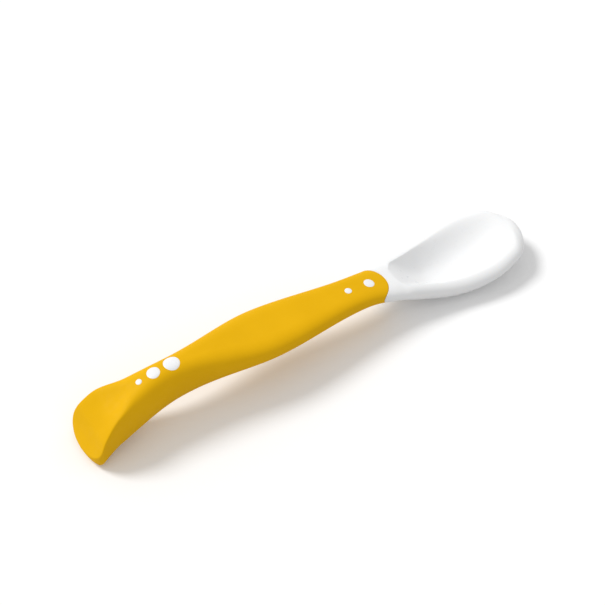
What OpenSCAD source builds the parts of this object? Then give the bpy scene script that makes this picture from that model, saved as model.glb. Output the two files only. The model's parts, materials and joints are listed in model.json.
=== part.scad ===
// Bendable baby spoon: a hard bowl and a hard tail insert on one soft metal strip,
// inside a soft grip. The spoon lies straight and face up, with the tail towards -X,
// the bowl towards +X and the table at z = 0.

/* [Widths and length] */
// Length from the tail end to the tip of the bowl
overall_l = 160; // [150:1:175]
// Greatest width of the bowl
bowl_w = 28.4; // [25:0.2:34]
// Width across the tail end, before its corners are rounded
tail_w = 20; // [17:0.2:26]
// Width of the narrow waist beside the tail dots
waist_w = 10.4; // [10:0.2:14]
// Width of the thickest part of the grip
belly_w = 18.8; // [16:0.2:23]
// Width of the neck behind the bowl
neck_w = 12.8; // [11:0.2:16]
// Width of the bowl's rounded lip
lip_w = 3; // [2.4:0.1:4.2]

/* [Places along the spoon, from the tail end] */
// Place where the tail starts to narrow
shoulder_x = 10.6; // [8:0.2:14]
// Place of the waist
waist_x = 31.5; // [28:0.5:34]
// Place of the thickest part of the grip
belly_x = 63; // [54:0.5:68]
// Place of the narrowest part of the neck
neck_x = 97.5; // [96:0.5:104]
// Place of the tip of the grip's tongue, where the white neck starts
tongue_x = 107.8; // [107:0.2:112]
// Place of the lowest point of the bowl
keel_x = 131.5; // [125:0.5:134]
// Place of the greatest width of the bowl
bowl_x = 142; // [138:0.5:145]

/* [Heights above the table] */
// Highest point of the grip, at the tail dots
tail_h = 21; // [18:0.2:25]
// Top of the tail end
tail_end_h = 2.4; // [2.4:0.2:4]
// Underside of the tail end, where it rises from its flat foot
tail_lift = 1.7; // [1:0.1:2.2]
// Top of the grip at its thickest part
belly_h = 17.6; // [15:0.2:21]
// Top of the neck
neck_h = 14.6; // [12:0.2:17]
// Lowest point of the bowl's rim
rim_h = 8; // [6.6:0.2:10]
// Rim at the tip of the bowl
tip_h = 9.8; // [9:0.2:13]

/* [Thickness] */
// Thickness of the grip at the waist
waist_t = 14; // [12:0.2:17]
// Thickness of the grip at its thickest part
belly_t = 7.2; // [6.6:0.2:10]
// Thickness of the neck
neck_t = 5.4; // [5.2:0.2:8]
// Thickness of the bowl's floor
floor_t = 2.4; // [1.6:0.1:2.8]
// Thickness of the bowl at its tip
tip_t = 2.7; // [2.2:0.1:4]
// Soft wall round the hard tail insert and round the hard tang
grip_wall = 1.2; // [0.9:0.1:1.4]
// Depth of the teardrop dish in the tail
dish_depth = 0.7; // [0.2:0.1:1.2]
// Depth that the round undersides lose to the two flat feet
foot_depth = 0.25; // [0.1:0.05:0.5]

/* [Core strip] */
// Thickness of the soft metal strip, across the spoon
core_t = 1; // [0.6:0.1:1.6]
// Height of the strip, which stands on edge
core_h = 2.2; // [1.6:0.1:2.6]
// Length of the strip that is held in each hard end
core_hold = 13; // [8:0.5:14]

/* [Bend] */
// Start of the stretch that bends, from the tail end
bend_start_x = 37; // [35:0.5:40]
// End of the stretch that bends, from the tail end
bend_end_x = 90; // [84:0.5:92]
// Number of stiff slices that the bending stretch is divided into
slices = 9; // [5:1:14]
// Greatest sideways bend of the whole handle, in degrees each way
bend_angle = 66; // [40:1:80]
// Spare angle that stays open between two slices at the greatest bend
bend_spare = 0.2; // [0.1:0.05:0.5]

/* [Dots] */
// Diameters of the three dots at the tail, from the tail end on
tail_dot_ds = [2, 4.2, 5.2]; // [2:0.1:6]
// Places of the three dots at the tail
tail_dot_xs = [20.8, 25.7, 31.8]; // [20:0.1:33]
// Diameters of the two dots at the neck
neck_dot_ds = [2.4, 3.6]; // [2:0.1:4]
// Places of the two dots at the neck
neck_dot_xs = [94, 101.8]; // [93.4:0.1:103]
// Height that each dot stands proud of the grip
dot_rise = 0.15; // [0.05:0.05:0.4]

/* [Hidden] */

yellow = [0.925, 0.72, 0.075];
white = [0.97, 0.97, 0.96];
metal = [0.7, 0.71, 0.72];

// Exponents of the rounded sections, of the tail's dish and of the bowl's lip: 2 is an ellipse, more is
// boxier, and less falls away sooner
round_n = 2.4;
dish_n = 5;
lip_n = 1.8;
// Exponents of the hollows from their edge down: 1 starts steep, and more starts softer
brim_dish_n = 2;
brim_front_n = 0.7;
brim_wide_n = 1.9;
// Points from the side to the lip, from the lip to the middle, and underneath
lip_steps = 4;
dish_steps = 6;
under_steps = 9;
// Greatest spacing of the sections, and sections in each round end
ring_gap = 2.6;
end_steps = 7;
// Angle at which the first and the last section stand on their round ends
end_angle = 14;
// How far a cut runs past what it cuts
overrun = 1;

// Shares of the named sizes that they follow
tail_r_share = 0.17;
tip_r_share = 0.27;
shoulder_w_share = 0.76;
tip_w_share = 0.67;
toe_x_share = 0.16;
toe_h_share = 0.26;
knuckle_x_share = 0.45;
knuckle_h_share = 0.535;
shoulder_h_share = 0.775;
heel_x_share = 0.23;
heel_h_share = 0.07;
tongue_h_share = 0.86;
prow_x_share = 0.67;
prow_h_share = 0.64;
lip_h_share = 0.8;
tongue_r_share = 0.56;
dot_root_share = 0.5;
dish_end_share = 0.95;
dish_shoulder_share = 0.78;
throat_x_share = 0.36;
throat_share = 0.3;
waist_share = 0.02;
hip_x_share = 0.4;
hip_share = 0.2;
belly_share = 0.42;
neck_share = 0.42;
cavity_gap_share = 1.05;
front_slope_share = 0.3;
back_slope_share = 0.26;
middle_share = 0.35;
front_edge_share = 0.02;

// Radii of the two round ends in plan
tail_r = tail_w * tail_r_share;
tip_r = bowl_w * tip_r_share;

// Runs: half width, top and underside, each a list of [place, size]
half_w_run = [
    [0, tail_w / 2],
    [shoulder_x, tail_w / 2 * shoulder_w_share],
    [waist_x, waist_w / 2],
    [belly_x, belly_w / 2],
    [neck_x, neck_w / 2],
    [bowl_x, bowl_w / 2],
    [overall_l, bowl_w / 2 * tip_w_share]
];
top_run = [
    [0, tail_end_h],
    [shoulder_x * toe_x_share, tail_h * toe_h_share],
    [shoulder_x * knuckle_x_share, tail_h * knuckle_h_share],
    [shoulder_x, tail_h * shoulder_h_share],
    [waist_x, tail_h],
    [belly_x, belly_h],
    [neck_x, neck_h],
    [tongue_x, neck_h * tongue_h_share],
    [keel_x, rim_h],
    [overall_l, tip_h]
];
under_run = [
    [0, tail_lift],
    [shoulder_x * heel_x_share, -foot_depth],
    [shoulder_x, tail_h * heel_h_share],
    [waist_x, tail_h - waist_t],
    [belly_x, belly_h - belly_t],
    [neck_x, neck_h - neck_t],
    [keel_x, -foot_depth],
    [mix(keel_x, overall_l, prow_x_share), (tip_h - tip_t) * prow_h_share],
    [overall_l, tip_h - tip_t]
];

// Run: share of the half width that is level across the top
level_run = [
    [0, dish_end_share],
    [shoulder_x, dish_shoulder_share],
    [mix(shoulder_x, waist_x, throat_x_share), throat_share],
    [waist_x, waist_share],
    [mix(waist_x, belly_x, hip_x_share), hip_share],
    [belly_x, belly_share],
    [neck_x, neck_share],
    [bowl_x, 0],
    [overall_l, 0]
];

function mix(a, b, t) = a + (b - a) * t;
function ease(t) = let (u = min(1, max(0, t))) u * u * (3 - 2 * u);

// Smooth curve through a run's points that never swings past them
function chord(run, i) = (run[i + 1][1] - run[i][1]) / (run[i + 1][0] - run[i][0]);
function lean(run, i) =
    i == 0 ? chord(run, 0)
    : i == len(run) - 1 ? chord(run, i - 1)
    : let (a = chord(run, i - 1), b = chord(run, i)) a * b <= 0 ? 0 : 2 * a * b / (a + b);
function leg(run, x, i = 0) = i >= len(run) - 2 || x <= run[i + 1][0] ? i : leg(run, x, i + 1);
function along(run, x) =
    let (
        i = leg(run, x),
        h = run[i + 1][0] - run[i][0],
        t = (x - run[i][0]) / h,
        a = run[i][1],
        b = run[i + 1][1],
        ma = lean(run, i) * h,
        mb = lean(run, i + 1) * h
    )
    a * (1 + 2 * t) * pow(1 - t, 2) + ma * t * pow(1 - t, 2)
        + b * (3 - 2 * t) * pow(t, 2) + mb * (t - 1) * pow(t, 2);

// Plan outline with its two round ends
function round_end(d, r) = d >= r ? 1 : sqrt(1 - pow(1 - max(0, d) / r, 2));
function tail_inset(x) = x + tail_r * (1 - cos(end_angle));
function tip_inset(x) = overall_l - x + tip_r * (1 - cos(end_angle));
function half_w(x) =
    along(half_w_run, x) * round_end(tail_inset(x), tail_r) * round_end(tip_inset(x), tip_r);

// Heights: top, underside and the level at which a section is widest
lip_h = lip_w * lip_h_share;
dot_root = grip_wall * dot_root_share;
function top_z(x) = along(top_run, x);
function under_z(x) = along(under_run, x);
function middle_z(x) = (top_z(x) + under_z(x)) / 2;
function bowl_part(x) = ease((x - neck_x) / (keel_x - neck_x));
function wide_z(x) =
    mix(middle_z(x), top_z(x) - lip_h, bowl_part(x));
function tip_fall(x) = round_end(tip_inset(x), lip_w);

// Half width of the level part of the top: a strip that widens to the tail's dish, and the bowl's cavity
ridge_x = tail_dot_xs[0] - tail_dot_ds[0] / 2;
cavity_start = tongue_x + lip_w * cavity_gap_share;
cavity_end = overall_l - lip_w;
cavity_l = cavity_end - cavity_start;
function cavity_w(x) =
    x <= cavity_start || x >= cavity_end ? 0
    : (half_w(x) - lip_w) * round_end(x - cavity_start, lip_w) * round_end(cavity_end - x, tip_r - lip_w);
function level_w(x) = max(half_w(x) * along(level_run, x), cavity_w(x));

// Depth of the level part below its own edge
scoop_front = cavity_l * front_slope_share;
scoop_back = cavity_l * back_slope_share;
function scoop(x) =
    sin(90 * min(1, max(0, (x - cavity_start) / scoop_front)))
        * sin(90 * min(1, max(0, (cavity_end - x) / scoop_back)));
function dish_fade(x) = ease((ridge_x - x) / (ridge_x - shoulder_x)) * ease(x / tail_r);
function level_depth(x) =
    x < belly_x ? dish_depth * dish_fade(x) : max(0, top_z(x) - under_z(x) - floor_t) * scoop(x);
function hollow(x, share) =
    share >= 1 ? 0 : level_depth(x) * pow(1 - pow(share, round_n), x < belly_x ? brim_dish_n : brim(x));
function brim(x) = mix(brim_front_n, brim_wide_n, ease((x - cavity_start) / (bowl_x - cavity_start)));
function top_n(x) = mix(mix(dish_n, round_n, ease(x / ridge_x)), lip_n, bowl_part(x));

// Height of the top surface at a distance y from the middle of the section
function over_z(x, y, inset) =
    let (
        w = half_w(x) - inset,
        flat = min(level_w(x), w),
        rise = (top_z(x) - inset - wide_z(x)) * tip_fall(x),
        u = flat >= w ? 0 : min(1, max(0, (y - flat) / (w - flat)))
    )
    wide_z(x) + rise * pow(1 - pow(u, top_n(x)), 1 / top_n(x))
        - (y < flat ? hollow(x, y / flat) : 0);

// One closed section, from the far side over the top to the near side and back underneath
function split_w(x, inset) = max(level_w(x), middle_share * (half_w(x) - inset));
function arc_y(w, a) = w * pow(max(0, cos(a)), 2 / round_n);
function lip_y(x, w, split, i) =
    let (a = acos(pow(min(1, split / w), round_n / 2))) arc_y(w, a * i / lip_steps);
function half_top(x, inset) =
    let (w = half_w(x) - inset, split = min(split_w(x, inset), w * (1 - front_edge_share)))
    concat(
        [for (i = [0:lip_steps - 1]) lip_y(x, w, split, i)],
        [for (i = [0:dish_steps]) split * cos(90 * i / dish_steps)]
    );
function section(x, inset) =
    let (
        ys = half_top(x, inset),
        last = len(ys) - 1,
        w = half_w(x) - inset,
        drop = (wide_z(x) - under_z(x) - inset) * tip_fall(x)
    )
    concat(
        [for (i = [0:last]) [x, ys[i], over_z(x, ys[i], inset)]],
        [for (i = [last - 1:-1:0]) [x, -ys[i], over_z(x, ys[i], inset)]],
        [for (i = [1:2 * under_steps - 1])
            let (a = 180 * i / (2 * under_steps), c = cos(a))
            [
                x,
                -sign(c) * arc_y(w, acos(abs(c))),
                wide_z(x) - drop * pow(sin(a), 2 / round_n)
            ]]
    );

// Places of the sections, closer together round the two ends
function places(from, to) =
    let (
        tail_end = from <= 0,
        tip_end = to >= overall_l,
        a = tail_end ? tail_r : from,
        b = tip_end ? overall_l - tip_r : to,
        n = ceil((b - a) / ring_gap)
    )
    concat(
        tail_end ? [for (i = [0:end_steps - 1]) end_place(tail_r, i)] : [],
        [for (i = [0:n]) mix(a, b, i / n)],
        tip_end ? [for (i = [end_steps - 1:-1:0]) overall_l - end_place(tip_r, i)] : []
    );
function end_place(r, i) =
    r * (cos(end_angle) - cos(mix(end_angle, 90, i / end_steps))) / cos(end_angle);

// Solid between two places, inset from the outer surface by the soft wall where asked
module body(from, to, inset = 0) {
    xs = places(from, to);
    rings = [for (x = xs) section(x, inset)];
    n = len(rings[0]);
    points = [for (r = rings) each r];
    sides = [
        for (r = [0:len(xs) - 2], i = [0:n - 1])
            let (j = (i + 1) % n)
            each [
                [r * n + i, (r + 1) * n + i, (r + 1) * n + j],
                [r * n + i, (r + 1) * n + j, r * n + j]
            ]
    ];
    first = [for (i = [0:n - 1]) i];
    end = [for (i = [n - 1:-1:0]) (len(xs) - 1) * n + i];
    polyhedron(points, concat(sides, [first, end]));
}

// Bend: hinge lines stand upright on the spoon's middle line
pitch = (bend_end_x - bend_start_x) / slices;
relief = bend_angle / (slices + 1) / 2 + bend_spare / 2;
tall = 2 * max(tail_h, tip_h);
wide = max(bowl_w, tail_w, belly_w);
function hinge_x(i) = bend_start_x + pitch * i;

// Room of one stiff piece, whose upright end faces fall back from its hinge lines
module slice_room(from, to) {
    back = wide * tan(relief);
    a = from > 0 ? from + back : -overrun;
    b = to < overall_l ? to - back : overall_l + overrun;
    upright()
        polygon([[a, wide], [max(from, -overrun), 0], [a, -wide], [b, -wide], [to, 0], [b, wide]]);
}
module tail_room() slice_room(-overrun, bend_start_x);
module neck_room() slice_room(bend_end_x, overall_l + overrun);
module upright() translate([0, 0, -overrun]) linear_extrude(tall) children();

// Plan of the grip: its front ends in a round tongue over the white neck
tongue_r = neck_w * tongue_r_share;
module tongue_room() upright() {
    translate([tongue_x - tongue_r, 0]) circle(tongue_r, $fn = 96);
    translate([-overrun, -wide]) square([tongue_x - tongue_r + overrun, 2 * wide]);
}

// Everything above the table
module lay_flat() difference() {
    children();
    translate([-overrun, -wide, -tall]) cube([overall_l + 2 * overrun, 2 * wide, tall]);
}

// Metal strip on edge, along the middle of the handle from one hard end to the other
core_from = bend_start_x - core_hold;
core_to = bend_end_x + core_hold;
core_places = places(core_from, core_to);
module strip() translate([0, core_t / 2, 0]) rotate([90, 0, 0]) linear_extrude(core_t)
    polygon(concat(
        [for (x = core_places) [x, middle_z(x) - core_h / 2]],
        [for (i = [len(core_places) - 1:-1:0]) [core_places[i], middle_z(core_places[i]) + core_h / 2]]
    ));

// Round bosses that reach up from the hard pieces to the surface of the grip
function top_lean(x) = atan((top_z(x + overrun) - top_z(x - overrun)) / (2 * overrun));
module dot_place(x) translate([x, 0, top_z(x)]) rotate([0, -top_lean(x), 0]) children();
module dot_shaft(x, d) dot_place(x)
    translate([0, 0, -grip_wall - dot_root]) cylinder(d = d, h = grip_wall + dot_root + overrun, $fn = 64);
module dot(x, d) intersection() {
    dot_shaft(x, d);
    body(x - d, x + d, -dot_rise);
}
module dots(xs, ds) for (i = [0:len(xs) - 1]) dot(xs[i], ds[i]);
module dot_shafts(xs, ds) for (i = [0:len(xs) - 1]) dot_shaft(xs[i], ds[i]);

// Hard piece inside the tail, and the bowl's tang inside the front of the grip
insert_x = tail_r;
module insert_shape() intersection() {
    body(insert_x, bend_start_x, grip_wall);
    tail_room();
}
module tang_room() body(bend_end_x - overrun, cavity_start, grip_wall);
module tang_shape() intersection() {
    tang_room();
    neck_room();
}

module place() translate([-overall_l / 2, 0, 0]) children();

module bowl() color(white) place() difference() {
    union() {
        lay_flat() difference() {
            body(tongue_x - 2 * tongue_r, overall_l);
            tongue_room();
        }
        tang_shape();
        dots(neck_dot_xs, neck_dot_ds);
    }
    strip();
}

module tail_insert() color(white) place() difference() {
    union() {
        insert_shape();
        dots(tail_dot_xs, tail_dot_ds);
    }
    strip();
}

module grip_tail() color(yellow) place() difference() {
    lay_flat() intersection() {
        body(0, bend_start_x);
        tail_room();
    }
    insert_shape();
    dot_shafts(tail_dot_xs, tail_dot_ds);
}

module grip_neck() color(yellow) place() difference() {
    intersection() {
        body(bend_end_x, tongue_x);
        tongue_room();
        neck_room();
    }
    tang_room();
    dot_shafts(neck_dot_xs, neck_dot_ds);
}

module grip_slice(i) color(yellow) place() difference() {
    intersection() {
        body(hinge_x(i - 1), hinge_x(i));
        slice_room(hinge_x(i - 1), hinge_x(i));
    }
    strip();
}

module core_slice(i) color(metal) place() intersection() {
    strip();
    slice_room(hinge_x(i - 1), hinge_x(i));
}

module core_tail() color(metal) place() intersection() {
    strip();
    tail_room();
}

module core_neck() color(metal) place() intersection() {
    strip();
    neck_room();
}

bowl();
tail_insert();
grip_tail();
grip_neck();
core_tail();
core_neck();
for (i = [1:slices]) {
    grip_slice(i);
    core_slice(i);
}
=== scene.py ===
"""Looks of the bendable baby spoon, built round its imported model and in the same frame."""
import json
import math

import bpy
import numpy as np
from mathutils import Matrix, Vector


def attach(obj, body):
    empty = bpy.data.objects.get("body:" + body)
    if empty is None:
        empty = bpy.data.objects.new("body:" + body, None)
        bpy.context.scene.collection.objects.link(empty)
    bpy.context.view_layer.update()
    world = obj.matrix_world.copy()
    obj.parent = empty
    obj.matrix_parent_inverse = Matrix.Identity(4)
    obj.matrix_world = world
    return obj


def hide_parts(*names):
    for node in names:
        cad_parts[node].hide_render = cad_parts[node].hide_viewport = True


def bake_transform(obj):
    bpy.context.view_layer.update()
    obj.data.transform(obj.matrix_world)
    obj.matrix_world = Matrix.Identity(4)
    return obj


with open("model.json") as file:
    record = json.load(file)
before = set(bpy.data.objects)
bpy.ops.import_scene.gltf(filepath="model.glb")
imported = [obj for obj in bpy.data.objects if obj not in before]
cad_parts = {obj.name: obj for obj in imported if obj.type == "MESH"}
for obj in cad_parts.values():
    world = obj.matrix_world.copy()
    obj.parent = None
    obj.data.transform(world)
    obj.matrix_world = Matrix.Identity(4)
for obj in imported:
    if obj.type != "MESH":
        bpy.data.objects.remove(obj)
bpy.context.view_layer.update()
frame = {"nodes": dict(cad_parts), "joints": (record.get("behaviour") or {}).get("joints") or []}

# Metres in a millimetre. All sizes below are in millimetres, and places are counted from the tail end
MM = 0.001

# Length and widths. The bowl stays a hair inside its solid
OVERALL_L = 160.0
BOWL_W = 28.39
TAIL_W = 20.0
WAIST_W = 10.4
BELLY_W = 18.8
NECK_W = 12.8
LIP_W = 3.0

# Places along the spoon
SHOULDER_X = 10.6
WAIST_X = 31.5
BELLY_X = 63.0
NECK_X = 97.5
TONGUE_X = 107.8
KEEL_X = 131.5
BOWL_X = 142.0

# Heights above the table
TAIL_H = 21.0
TAIL_END_H = 2.4
TAIL_LIFT = 1.7
BELLY_H = 17.6
NECK_H = 14.6
RIM_H = 8.0
TIP_H = 9.8

# Thicknesses, the depth of the tail's dish, and how far the underside's curve would dip into the table
WAIST_T = 14.0
BELLY_T = 7.2
NECK_T = 5.4
FLOOR_T = 2.4
TIP_T = 2.7
GRIP_WALL = 1.2
DISH_DEPTH = 0.7
FOOT_DEPTH = 0.25

# Dots: place and diameter
TAIL_DOTS = {
    "tail_dot_small": (20.8, 2.0),
    "tail_dot_middle": (25.7, 4.2),
    "tail_dot_large": (31.8, 5.2),
}
NECK_DOTS = {
    "neck_dot_small": (94.0, 2.4),
    "neck_dot_large": (101.8, 3.6),
}

# How far a dot stands proud, the gap round it, how deep it and its hole go, and how far from the
# nearest dots the bend starts and ends
DOT_RISE = 0.149
DOT_GAP = 0.05
DOT_DEPTH = GRIP_WALL * 2
HOLE_DEPTH = GRIP_WALL * 3
DOT_MARGIN = 0.4

# Edges where the soft grip meets the hard neck, and the angle from which an edge is shaded as sharp
EDGE_R = 0.22
SHARP_ANGLE = math.radians(48)

# Exponents of the rounded sections, of the tail's dish and of the bowl's lip: 2 is an ellipse, more is
# boxier, and less falls away sooner
ROUND_N = 2.4
DISH_N = 5.0
LIP_N = 1.8

# Exponents of the slope inside the dish, at the front of the cavity and in its wide part
BRIM_DISH_N = 2.0
BRIM_FRONT_N = 0.7
BRIM_WIDE_N = 1.9

# Angle at which the first and the last section stand on their round ends
END_ANGLE = math.radians(3)

# Shares of the named sizes that they follow, as in the construction
TAIL_R_SHARE = 0.17
TIP_R_SHARE = 0.27
SHOULDER_W_SHARE = 0.76
TIP_W_SHARE = 0.67
TOE_X_SHARE = 0.16
TOE_H_SHARE = 0.26
KNUCKLE_X_SHARE = 0.45
KNUCKLE_H_SHARE = 0.535
SHOULDER_H_SHARE = 0.775
HEEL_X_SHARE = 0.23
HEEL_H_SHARE = 0.07
TONGUE_H_SHARE = 0.86
PROW_X_SHARE = 0.67
PROW_H_SHARE = 0.64
LIP_H_SHARE = 0.8
TONGUE_R_SHARE = 0.56
DISH_END_SHARE = 0.95
DISH_SHOULDER_SHARE = 0.78
THROAT_X_SHARE = 0.36
THROAT_SHARE = 0.3
WAIST_SHARE = 0.02
HIP_X_SHARE = 0.4
HIP_SHARE = 0.2
BELLY_SHARE = 0.42
NECK_SHARE = 0.42
CAVITY_GAP_SHARE = 1.05
FRONT_SLOPE_SHARE = 0.3
BACK_SLOPE_SHARE = 0.26
MIDDLE_SHARE = 0.35
FRONT_EDGE_SHARE = 0.02

# Radii of the round ends in plan, height of the lip, and places of the dish's ridge and the cavity
TAIL_R = TAIL_W * TAIL_R_SHARE
TIP_R = BOWL_W * TIP_R_SHARE
TONGUE_R = NECK_W * TONGUE_R_SHARE
LIP_H = LIP_W * LIP_H_SHARE
FIRST_DOT_X, FIRST_DOT_D = TAIL_DOTS["tail_dot_small"]
RIDGE_X = FIRST_DOT_X - FIRST_DOT_D / 2
CAVITY_START = TONGUE_X + LIP_W * CAVITY_GAP_SHARE
CAVITY_END = OVERALL_L - LIP_W
CAVITY_L = CAVITY_END - CAVITY_START
SCOOP_FRONT = CAVITY_L * FRONT_SLOPE_SHARE
SCOOP_BACK = CAVITY_L * BACK_SLOPE_SHARE

# Hinge places, and the places half-way between them where one piece of grip hands over to the next
JOINTS = frame["joints"]
HINGES = [j["pos_m"][0] / MM + OVERALL_L / 2 for j in JOINTS]
MIDS = [(a + b) / 2 for a, b in zip(HINGES, HINGES[1:])]

# Places where the bending stretch of the grip starts and ends
LAST_TAIL_DOT_X, LAST_TAIL_DOT_D = TAIL_DOTS["tail_dot_large"]
FIRST_NECK_DOT_X, FIRST_NECK_DOT_D = NECK_DOTS["neck_dot_small"]
TAIL_EDGE = LAST_TAIL_DOT_X + LAST_TAIL_DOT_D / 2 + DOT_MARGIN
NECK_EDGE = FIRST_NECK_DOT_X - FIRST_NECK_DOT_D / 2 - DOT_MARGIN

# Fineness of the meshes, and the rounds in which the sections along the tongue settle
LIP_STEPS = 12
DISH_STEPS = 16
UNDER_STEPS = 28
RING_GAP = 0.5
END_STEPS = 16
TONGUE_STEPS = 30
NECK_STEPS = 14
EDGE_STEPS = 4
DOT_STEPS = 48
DOME_STEPS = 8
SETTLING_ROUNDS = 20

# Share of the way out from the middle of a dot's dome at which its first circle lies
DOME_START = 0.04

# Smallest width that a formula divides by
TINY = 0.001

# Camera: the point it looks at, its turn and rise, its distance, the nearest that it shows, the pixels
# to a millimetre at that point, and the widths of the image in pixels and of the sensor
TARGET = (6.34, 14.4, 0.0)
CAMERA_TURN = math.radians(32.28)
CAMERA_RISE = math.radians(49.4)
CAMERA_D = 500.0
CLIP_START = 10.0
PIXELS_PER_MM = 3.121
IMAGE_W = 605
SENSOR_W = 36.0

# Light: where the sun stands, the shares of sky and sun, and how soft the sun's shadows are
LIGHT_FROM = (-0.5, 0.74, 1.0)
SKY_SHARE = 0.6
SUN_SHARE = 0.4
SUN_SPREAD = math.radians(20)

# Ground: its width, how much light it throws back on the spoon, and the glow that brings it to white
GROUND_W = 6000.0
GROUND_GREY = 0.66
GROUND_GLOW = 0.04
WHITE = (1, 1, 1, 1)

# Values between which nearly all of a noise lies, and its detail where nothing else is said
NOISE_LOW = 0.35
NOISE_HIGH = 0.65
NOISE_DETAIL = 2.0


def mix(a, b, t):
    return a + (b - a) * t


def ease(t):
    u = np.clip(t, 0, 1)
    return u * u * (3 - 2 * u)


# Runs: half width, top and underside, each with the places and sizes that a smooth curve goes through
HALF_W_RUN = (
    (0, TAIL_W / 2),
    (SHOULDER_X, TAIL_W / 2 * SHOULDER_W_SHARE),
    (WAIST_X, WAIST_W / 2),
    (BELLY_X, BELLY_W / 2),
    (NECK_X, NECK_W / 2),
    (BOWL_X, BOWL_W / 2),
    (OVERALL_L, BOWL_W / 2 * TIP_W_SHARE),
)
TOP_RUN = (
    (0, TAIL_END_H),
    (SHOULDER_X * TOE_X_SHARE, TAIL_H * TOE_H_SHARE),
    (SHOULDER_X * KNUCKLE_X_SHARE, TAIL_H * KNUCKLE_H_SHARE),
    (SHOULDER_X, TAIL_H * SHOULDER_H_SHARE),
    (WAIST_X, TAIL_H),
    (BELLY_X, BELLY_H),
    (NECK_X, NECK_H),
    (TONGUE_X, NECK_H * TONGUE_H_SHARE),
    (KEEL_X, RIM_H),
    (OVERALL_L, TIP_H),
)
UNDER_RUN = (
    (0, TAIL_LIFT),
    (SHOULDER_X * HEEL_X_SHARE, -FOOT_DEPTH),
    (SHOULDER_X, TAIL_H * HEEL_H_SHARE),
    (WAIST_X, TAIL_H - WAIST_T),
    (BELLY_X, BELLY_H - BELLY_T),
    (NECK_X, NECK_H - NECK_T),
    (KEEL_X, -FOOT_DEPTH),
    (mix(KEEL_X, OVERALL_L, PROW_X_SHARE), (TIP_H - TIP_T) * PROW_H_SHARE),
    (OVERALL_L, TIP_H - TIP_T),
)

# Run: share of the half width that is level across the top, where the bowl isn't hollow
LEVEL_RUN = (
    (0, DISH_END_SHARE),
    (SHOULDER_X, DISH_SHOULDER_SHARE),
    (mix(SHOULDER_X, WAIST_X, THROAT_X_SHARE), THROAT_SHARE),
    (WAIST_X, WAIST_SHARE),
    (mix(WAIST_X, BELLY_X, HIP_X_SHARE), HIP_SHARE),
    (BELLY_X, BELLY_SHARE),
    (NECK_X, NECK_SHARE),
    (BOWL_X, 0),
    (OVERALL_L, 0),
)


def leans(places, sizes):
    """Slope of the curve at each point of a run, level where the run turns back."""
    chords = np.diff(sizes) / np.diff(places)
    a, b = chords[:-1], chords[1:]
    same_way = a * b > 0
    inner = np.where(same_way, 2 * a * b / np.where(same_way, a + b, 1), 0)
    return np.concatenate([chords[:1], inner, chords[-1:]])


def along(run, x):
    """Smooth curve through a run's points that never swings past them."""
    places, sizes = np.array(run, float).T
    slopes = leans(places, sizes)
    i = np.clip(np.searchsorted(places, x) - 1, 0, len(run) - 2)
    h = places[i + 1] - places[i]
    t = (x - places[i]) / h
    start = sizes[i] * (1 + 2 * t) + slopes[i] * h * t
    end = sizes[i + 1] * (3 - 2 * t) + slopes[i + 1] * h * (t - 1)
    return start * (1 - t) ** 2 + end * t ** 2


def round_end(d, r):
    """Share of the full width at a distance d from a round end of radius r."""
    return np.sqrt(1 - (1 - np.clip(d / r, 0, 1)) ** 2)


def tail_inset(x):
    return x + TAIL_R * (1 - math.cos(END_ANGLE))


def tip_inset(x):
    return OVERALL_L - x + TIP_R * (1 - math.cos(END_ANGLE))


def half_w(x):
    return along(HALF_W_RUN, x) * round_end(tail_inset(x), TAIL_R) * round_end(tip_inset(x), TIP_R)


def top_z(x):
    return along(TOP_RUN, x)


def under_z(x):
    return along(UNDER_RUN, x)


def bowl_part(x):
    """0 in the grip and 1 in the bowl."""
    return ease((x - NECK_X) / (KEEL_X - NECK_X))


def wide_z(x):
    """Level at which a section is widest: its middle in the grip, and just under the lip in the bowl."""
    return mix((top_z(x) + under_z(x)) / 2, top_z(x) - LIP_H, bowl_part(x))


def tip_fall(x):
    return round_end(tip_inset(x), LIP_W)


def level_w(x):
    """Half width of the level strip along the top and in the tail's dish, or of the bowl's cavity."""
    ends = round_end(x - CAVITY_START, LIP_W) * round_end(CAVITY_END - x, TIP_R - LIP_W)
    return np.maximum(half_w(x) * along(LEVEL_RUN, x), (half_w(x) - LIP_W) * ends)


def level_depth(x):
    """Depth of the dish or of the cavity below its own edge."""
    fade = ease((RIDGE_X - x) / (RIDGE_X - SHOULDER_X)) * ease(x / TAIL_R)
    front = np.sin(math.pi / 2 * np.clip((x - CAVITY_START) / SCOOP_FRONT, 0, 1))
    back = np.sin(math.pi / 2 * np.clip((CAVITY_END - x) / SCOOP_BACK, 0, 1))
    cavity = np.maximum(0, top_z(x) - under_z(x) - FLOOR_T) * front * back
    return np.where(x < BELLY_X, DISH_DEPTH * fade, cavity)


def brim(x):
    """Exponent of the slope inside the dish or the cavity."""
    wide = ease((x - CAVITY_START) / (BOWL_X - CAVITY_START))
    return np.where(x < BELLY_X, BRIM_DISH_N, mix(BRIM_FRONT_N, BRIM_WIDE_N, wide))


def top_n(x):
    """Exponent of the top edge: tight round the tail's dish, and soon falling at the bowl's lip."""
    return mix(mix(DISH_N, ROUND_N, ease(x / RIDGE_X)), LIP_N, bowl_part(x))


def over_z(x, y, inset=0.0):
    """Height of the top surface at a distance y from the spoon's middle line."""
    w = half_w(x) - inset
    flat = np.minimum(level_w(x), w)
    rise = (top_z(x) - inset - wide_z(x)) * tip_fall(x)
    u = np.clip((y - flat) / np.maximum(w - flat, TINY), 0, 1)
    share = np.clip(y / np.maximum(flat, TINY), 0, 1)
    hollow = np.where(y < flat, level_depth(x) * (1 - share ** ROUND_N) ** brim(x), 0)
    return wide_z(x) + rise * (1 - u ** top_n(x)) ** (1 / top_n(x)) - hollow


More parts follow.
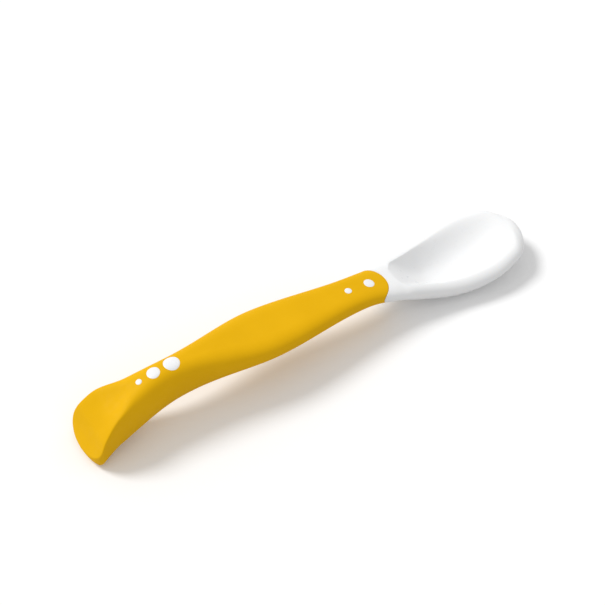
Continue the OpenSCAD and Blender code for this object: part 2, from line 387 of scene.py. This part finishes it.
# Columns of a section, from the far side over the top to the near side and back underneath
LIP_T = np.arange(LIP_STEPS) / LIP_STEPS
DISH_T = np.arange(DISH_STEPS + 1) / DISH_STEPS
TOP_LIP = np.concatenate([LIP_T, np.ones(2 * DISH_STEPS + 1), LIP_T[::-1]])
TOP_DISH = np.concatenate([0 * LIP_T, DISH_T, DISH_T[-2::-1], 0 * LIP_T])
TOP_SIDE = np.where(np.arange(len(TOP_LIP)) <= LIP_STEPS + DISH_STEPS, 1, -1)
UNDER_A = math.pi * np.arange(1, 2 * UNDER_STEPS) / (2 * UNDER_STEPS)
COLUMNS = len(TOP_LIP) + len(UNDER_A)


def arc_y(w, a):
    return w * np.maximum(0, np.cos(a)) ** (2 / ROUND_N)


def section_y(x, inset):
    """Distances from the middle line: x has a row for each section and a column for each of its points."""
    w = half_w(x) - inset
    split = np.minimum(np.maximum(level_w(x), MIDDLE_SHARE * w), w * (1 - FRONT_EDGE_SHARE))
    n = len(TOP_LIP)
    lip = arc_y(w[:, :n], np.arccos((split / w)[:, :n] ** (ROUND_N / 2)) * TOP_LIP)
    dish = split[:, :n] * np.cos(math.pi / 2 * TOP_DISH)
    top = TOP_SIDE * np.where(TOP_LIP < 1, lip, dish)
    c = np.cos(UNDER_A)
    under = -np.sign(c) * arc_y(w[:, n:], np.arccos(np.abs(c)))
    return np.concatenate([top, under], 1)


def section_z(x, y, inset):
    n = len(TOP_LIP)
    top = over_z(x[:, :n], np.abs(y[:, :n]), inset)
    low = x[:, n:]
    drop = (wide_z(low) - under_z(low) - inset) * tip_fall(low)
    under = wide_z(low) - drop * np.sin(UNDER_A) ** (2 / ROUND_N)
    return np.maximum(inset, np.concatenate([top, under], 1))


def rings_at(x, inset=0.0):
    y = section_y(x, inset)
    return np.stack([x, y, section_z(x, y, inset)], -1)


def rings(places, inset=0.0):
    """Sections square to the spoon at the given places."""
    return rings_at(np.repeat(np.array(places, float)[:, None], COLUMNS, 1), inset)


def tongue_front(y):
    """Place of the tongue's round edge at a distance y from the middle line."""
    return TONGUE_X - TONGUE_R + np.sqrt(np.maximum(0, TONGUE_R ** 2 - y ** 2))


def tongue_rings(start, shares, inset=0.0, back=0.0):
    """Sections that turn from square, at start, to the tongue's round edge, where the share is 1."""
    t = np.repeat(np.array(shares, float)[:, None], COLUMNS, 1)
    x = mix(start, TONGUE_X - TONGUE_R, t)
    for _ in range(SETTLING_ROUNDS):
        x = mix(start, tongue_front(section_y(x, inset)) - back, t)
    return rings_at(x, inset)


def steps(start, end, gap=RING_GAP):
    """Even places from start to end, no further apart than the gap."""
    return np.linspace(start, end, max(2, math.ceil((end - start) / gap) + 1))


def end_places(r):
    """Places of the sections on a round end, closer together towards its very end."""
    a = np.linspace(END_ANGLE, math.pi / 2, END_STEPS + 1)
    return r * (math.cos(END_ANGLE) - np.cos(a)) / math.cos(END_ANGLE)


TONGUE_SHARES = steps(0, 1, 1 / TONGUE_STEPS)
EDGE_ANGLES = np.linspace(0, math.pi / 2, EDGE_STEPS + 1)


def to_frame(points):
    """Points in millimetres from the tail end, as metres from the middle of the spoon."""
    return (points - np.array([OVERALL_L / 2, 0, 0])) * MM


def placed(name, data):
    made = bpy.data.objects.new(name, data)
    bpy.context.scene.collection.objects.link(made)
    return made


def new_object(name, points, faces, slot):
    mesh = bpy.data.meshes.new(name)
    mesh.from_pydata(to_frame(points).tolist(), [], [list(map(int, f)) for f in faces])
    mesh.validate()
    mesh.polygons.foreach_set("use_smooth", [True] * len(mesh.polygons))
    piece = placed(name, mesh)
    piece.data.materials.append(MATERIALS[slot])
    return piece


def skin(name, loops, slot, loop_round=False):
    """Closed mesh through loops of points: its ends are capped, or joined where the loops go round."""
    rows, n = loops.shape[:2]
    index = np.arange(rows * n).reshape(rows, n)
    following = np.roll(index, -1, axis=0) if loop_round else index[1:]
    here = index if loop_round else index[:-1]
    faces = np.stack([here, following, np.roll(following, -1, 1), np.roll(here, -1, 1)], -1)
    caps = [] if loop_round else [index[0], index[-1][::-1]]
    return new_object(name, loops.reshape(-1, 3), list(faces.reshape(-1, 4)) + caps, slot)


def sharpen(piece):
    piece.data.set_sharp_from_angle(angle=SHARP_ANGLE)


def lean_at(x):
    """Angle at which the top climbs at a place."""
    return math.atan(float(top_z(x + RING_GAP) - top_z(x - RING_GAP)) / (2 * RING_GAP))


def disc(x, r, lift, drop):
    """Circle on the skin, lifted straight up, and then sunk along the dot's own axis."""
    a = 2 * math.pi * np.arange(DOT_STEPS) / DOT_STEPS
    lean = lean_at(x)
    px = x + r * np.cos(a) * math.cos(lean)
    py = r * np.sin(a)
    pz = over_z(px, np.abs(py)) + lift
    return np.stack([px + drop * math.sin(lean), py, pz - drop * math.cos(lean)], -1)


def dot(name, x, d, body):
    """White boss whose low dome stands a little proud of the skin."""
    r = d / 2
    angles = np.linspace(DOME_START, 1.0, DOME_STEPS + 1) * math.pi / 2
    dome = [(math.sin(a), math.cos(a)) for a in angles]
    loops = [disc(x, r * share, DOT_RISE * (2 * height ** 0.5 - 1), 0) for share, height in dome]
    loops.append(disc(x, r, -DOT_RISE, DOT_DEPTH))
    piece = skin(name, np.array(loops)[::-1], "hard_white")
    sharpen(piece)
    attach(piece, body)
    return piece


def cut_holes(piece, places):
    """Round holes for the dots, each a hair wider than its dot."""
    for x, d in places:
        r = d / 2 + DOT_GAP
        loops = np.array([disc(x, r, 0, HOLE_DEPTH), disc(x, r, 0, -GRIP_WALL)])
        cutter = skin("cutter", loops, "hard_white")
        cut = piece.modifiers.new("hole", "BOOLEAN")
        cut.operation = "DIFFERENCE"
        cut.object = cutter
        graph = bpy.context.evaluated_depsgraph_get()
        mesh = bpy.data.meshes.new_from_object(piece.evaluated_get(graph))
        piece.modifiers.clear()
        piece.data = mesh
        bpy.data.objects.remove(cutter)
    sharpen(piece)


def material(name):
    made = bpy.data.materials.new(name)
    made.use_nodes = True
    return made, made.node_tree, made.node_tree.nodes["Principled BSDF"]


def noise(tree, scale, detail=NOISE_DETAIL):
    where = tree.nodes.new("ShaderNodeTexCoord")
    texture = tree.nodes.new("ShaderNodeTexNoise")
    texture.inputs["Scale"].default_value = scale
    texture.inputs["Detail"].default_value = detail
    tree.links.new(where.outputs["Object"], texture.inputs["Vector"])
    return texture.outputs["Fac"]


def tint(tree, shader, source, low, high):
    """Base colour that goes from low to high with the noise."""
    node = tree.nodes.new("ShaderNodeValToRGB")
    node.color_ramp.elements[0].position = NOISE_LOW
    node.color_ramp.elements[0].color = (*low, 1)
    node.color_ramp.elements[1].position = NOISE_HIGH
    node.color_ramp.elements[1].color = (*high, 1)
    tree.links.new(source, node.inputs["Fac"])
    tree.links.new(node.outputs["Color"], shader.inputs["Base Color"])


def roughen(tree, shader, source, low, high):
    """Roughness that goes from low to high with the noise."""
    node = tree.nodes.new("ShaderNodeMapRange")
    node.inputs["From Min"].default_value = NOISE_LOW
    node.inputs["From Max"].default_value = NOISE_HIGH
    node.inputs["To Min"].default_value = low
    node.inputs["To Max"].default_value = high
    tree.links.new(source, node.inputs["Value"])
    tree.links.new(node.outputs["Result"], shader.inputs["Roughness"])


def bump(tree, shader, source, strength, depth):
    """Relief of a depth in millimetres that goes with the noise."""
    node = tree.nodes.new("ShaderNodeBump")
    node.inputs["Strength"].default_value = strength
    node.inputs["Distance"].default_value = depth * MM
    tree.links.new(source, node.inputs["Height"])
    tree.links.new(node.outputs["Normal"], shader.inputs["Normal"])


def soft_yellow():
    """Matt soft-touch elastomer with a fine moulded grain."""
    made, tree, shader = material("soft_yellow")
    cloud = noise(tree, scale=90)
    patches = noise(tree, scale=700, detail=4)
    grain = noise(tree, scale=5200, detail=3)
    tint(tree, shader, cloud, low=(0.84, 0.46, 0.001), high=(0.87, 0.48, 0.002))
    roughen(tree, shader, patches, low=0.56, high=0.68)
    bump(tree, shader, grain, strength=0.25, depth=0.03)
    shader.inputs["Specular IOR Level"].default_value = 0.1
    return made


def hard_white():
    """Smooth satin polypropylene, a little translucent."""
    made, tree, shader = material("hard_white")
    cloud = noise(tree, scale=60)
    patches = noise(tree, scale=500, detail=3)
    ripple = noise(tree, scale=1400)
    tint(tree, shader, cloud, low=(0.94, 0.945, 0.95), high=(0.955, 0.96, 0.965))
    roughen(tree, shader, patches, low=0.27, high=0.36)
    bump(tree, shader, ripple, strength=0.06, depth=0.04)
    shader.inputs["Specular IOR Level"].default_value = 0.25
    shader.inputs["Subsurface Weight"].default_value = 0.12
    shader.inputs["Subsurface Radius"].default_value = (1, 0.9, 0.8)
    shader.inputs["Subsurface Scale"].default_value = 1.5 * MM
    return made


def core_metal():
    """Bare annealed steel with the fine lines of rolling."""
    made, tree, shader = material("core_metal")
    where = tree.nodes.new("ShaderNodeTexCoord")
    stretch = tree.nodes.new("ShaderNodeMapping")
    stretch.inputs["Scale"].default_value = (60, 2500, 2500)
    texture = tree.nodes.new("ShaderNodeTexNoise")
    texture.inputs["Scale"].default_value = 1
    tree.links.new(where.outputs["Object"], stretch.inputs["Vector"])
    tree.links.new(stretch.outputs["Vector"], texture.inputs["Vector"])
    lines = texture.outputs["Fac"]
    tint(tree, shader, lines, low=(0.5, 0.5, 0.5), high=(0.62, 0.62, 0.61))
    roughen(tree, shader, lines, low=0.3, high=0.5)
    shader.inputs["Metallic"].default_value = 1
    return made


MATERIALS = {"soft_yellow": soft_yellow(), "hard_white": hard_white(), "core_metal": core_metal()}


def tail():
    """Tail of the grip: a soft shell over the hard insert, with the dish and three holes in its top."""
    outer = rings(np.concatenate([end_places(TAIL_R)[:-1], steps(TAIL_R, TAIL_EDGE)]))
    inner = rings(steps(TAIL_R, TAIL_EDGE)[::-1], GRIP_WALL)
    loops = np.concatenate([outer, inner])
    shell = skin("grip_tail_skin", loops, "soft_yellow")
    cut_holes(shell, TAIL_DOTS.values())
    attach(shell, "tail_end")
    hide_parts("grip_tail")


def insert():
    """Hard insert inside the tail, and the three dots that are its bosses."""
    loops = rings(steps(TAIL_R + DOT_GAP, TAIL_EDGE), GRIP_WALL + DOT_GAP)
    body = skin("tail_insert_body", loops, "hard_white")
    sharpen(body)
    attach(body, "tail_end")
    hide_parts("tail_insert")
    for name, (x, d) in TAIL_DOTS.items():
        dot(name, x, d, "tail_end")


def bending_grip():
    """The grip's bending stretch: each piece crosses one hinge and hands over in the middle of a slice."""
    edges = [TAIL_EDGE, *MIDS, NECK_EDGE]
    for i, joint in enumerate(JOINTS):
        start, end = edges[i], edges[i + 1]
        piece = skin(f"grip_bend_{i + 1}", rings(steps(start, end)), "soft_yellow")
        sharpen(piece)
        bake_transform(piece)
        if i < len(MIDS):
            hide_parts(f"grip_slice_{i + 1}")


def tongue():
    """Front of the grip: a soft sleeve round the tang that ends in a round tongue over the neck."""
    edge = [(EDGE_R * math.sin(a), EDGE_R * (1 - math.cos(a))) for a in EDGE_ANGLES]
    outer = tongue_rings(NECK_EDGE, TONGUE_SHARES, back=EDGE_R)
    rim = [tongue_rings(NECK_EDGE, [1], inset=drop, back=EDGE_R - ahead) for ahead, drop in edge[1:]]
    inner = tongue_rings(NECK_EDGE, TONGUE_SHARES[::-1], inset=GRIP_WALL)
    loops = np.concatenate([outer, *rim, inner])
    sleeve = skin("grip_tongue", loops, "soft_yellow", loop_round=True)
    cut_holes(sleeve, NECK_DOTS.values())
    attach(sleeve, "bowl_end")
    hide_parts("grip_neck")


def bowl():
    """Hard bowl with its broad lip, its neck, and the tang inside the grip."""
    tang = tongue_rings(NECK_EDGE, TONGUE_SHARES, inset=GRIP_WALL + DOT_GAP, back=-DOT_GAP)
    edge = [(EDGE_R * (1 - math.cos(a)), EDGE_R * (1 - math.sin(a))) for a in EDGE_ANGLES]
    rim = [tongue_rings(NECK_EDGE, [1], inset=drop, back=-ahead - DOT_GAP) for ahead, drop in edge]
    straight = TONGUE_X + RING_GAP
    shares = steps(0, 1, 1 / NECK_STEPS)[::-1]
    neck = tongue_rings(straight, shares[1:], back=-EDGE_R - DOT_GAP)
    last = OVERALL_L - end_places(TIP_R)[::-1][1:]
    body = rings(np.concatenate([steps(straight, OVERALL_L - TIP_R)[1:], last]))
    moulding = skin("bowl_moulding", np.concatenate([tang, *rim, neck, body]), "hard_white")
    sharpen(moulding)
    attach(moulding, "bowl_end")
    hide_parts("bowl")
    for name, (x, d) in NECK_DOTS.items():
        dot(name, x, d, "bowl_end")


def core():
    """Metal strip: its solids are shown as they are, in the metal."""
    for name, node in frame["nodes"].items():
        if name.startswith("core_"):
            node.data.materials.clear()
            node.data.materials.append(MATERIALS["core_metal"])


def camera():
    """Camera at the photograph's angle, with the lens that gives a millimetre its pixels."""
    lens = bpy.data.cameras.new("camera")
    lens.sensor_width = SENSOR_W
    lens.lens = SENSOR_W * PIXELS_PER_MM * CAMERA_D / IMAGE_W
    lens.clip_start = CLIP_START * MM
    eye = placed("camera", lens)
    back = Vector((
        -math.cos(CAMERA_RISE) * math.sin(CAMERA_TURN),
        -math.cos(CAMERA_RISE) * math.cos(CAMERA_TURN),
        math.sin(CAMERA_RISE),
    ))
    eye.location = (Vector(TARGET) + back * CAMERA_D) * MM
    eye.rotation_euler = back.to_track_quat("Z", "Y").to_euler()
    bpy.context.scene.camera = eye


def sun():
    """Soft key light, as strong on level ground as its share says."""
    direction = Vector(LIGHT_FROM).normalized()
    lamp = bpy.data.lights.new("key", "SUN")
    lamp.energy = SUN_SHARE * math.pi / direction.z
    lamp.angle = SUN_SPREAD
    key = placed("key", lamp)
    key.rotation_euler = direction.to_track_quat("Z", "Y").to_euler()


def seen_directly(tree):
    """1 for camera, glossy and transmission rays, and 0 for the rays that carry light."""
    path = tree.nodes.new("ShaderNodeLightPath")
    total = path.outputs["Is Camera Ray"]
    for name in ("Is Glossy Ray", "Is Transmission Ray"):
        either = tree.nodes.new("ShaderNodeMath")
        either.operation = "MAXIMUM"
        tree.links.new(total, either.inputs[0])
        tree.links.new(path.outputs[name], either.inputs[1])
        total = either.outputs[0]
    return total


def mixed(tree, plain, seen, output):
    """Shows one shader to the eye, and lights the scene by the other, plain one."""
    node = tree.nodes.new("ShaderNodeMixShader")
    tree.links.new(seen_directly(tree), node.inputs["Fac"])
    tree.links.new(plain, node.inputs[1])
    tree.links.new(seen, node.inputs[2])
    tree.links.new(node.outputs[0], output)


def sky():
    """Even light from all sides, and a white background behind the ground."""
    world = bpy.data.worlds.new("sky")
    world.use_nodes = True
    tree = world.node_tree
    plain = tree.nodes["Background"]
    plain.inputs["Color"].default_value = WHITE
    plain.inputs["Strength"].default_value = SKY_SHARE
    white = tree.nodes.new("ShaderNodeBackground")
    white.inputs["Color"].default_value = WHITE
    white.inputs["Strength"].default_value = 1
    mixed(tree, plain.outputs[0], white.outputs[0], tree.nodes["World Output"].inputs["Surface"])
    bpy.context.scene.world = world


def floor():
    """White ground: it keeps the spoon's shadow, and elsewhere it reaches the background's white."""
    made, tree, shader = material("floor")
    tree.nodes.remove(shader)
    plain = tree.nodes.new("ShaderNodeBsdfDiffuse")
    plain.inputs["Color"].default_value = (GROUND_GREY, GROUND_GREY, GROUND_GREY, 1)
    white = tree.nodes.new("ShaderNodeBsdfDiffuse")
    white.inputs["Color"].default_value = WHITE
    glow = tree.nodes.new("ShaderNodeEmission")
    glow.inputs["Strength"].default_value = GROUND_GLOW
    both = tree.nodes.new("ShaderNodeAddShader")
    tree.links.new(white.outputs[0], both.inputs[0])
    tree.links.new(glow.outputs[0], both.inputs[1])
    mixed(tree, plain.outputs[0], both.outputs[0], tree.nodes["Material Output"].inputs["Surface"])
    half = GROUND_W / 2 * MM
    corners = [(-half, -half, 0), (half, -half, 0), (half, half, 0), (-half, half, 0)]
    mesh = bpy.data.meshes.new("floor")
    mesh.from_pydata(corners, [], [(0, 1, 2, 3)])
    ground = placed("floor", mesh)
    ground.data.materials.append(made)


camera()
sun()
sky()
floor()
tail()
insert()
bending_grip()
tongue()
bowl()
core()

bpy.context.scene.view_settings.view_transform = "Standard"
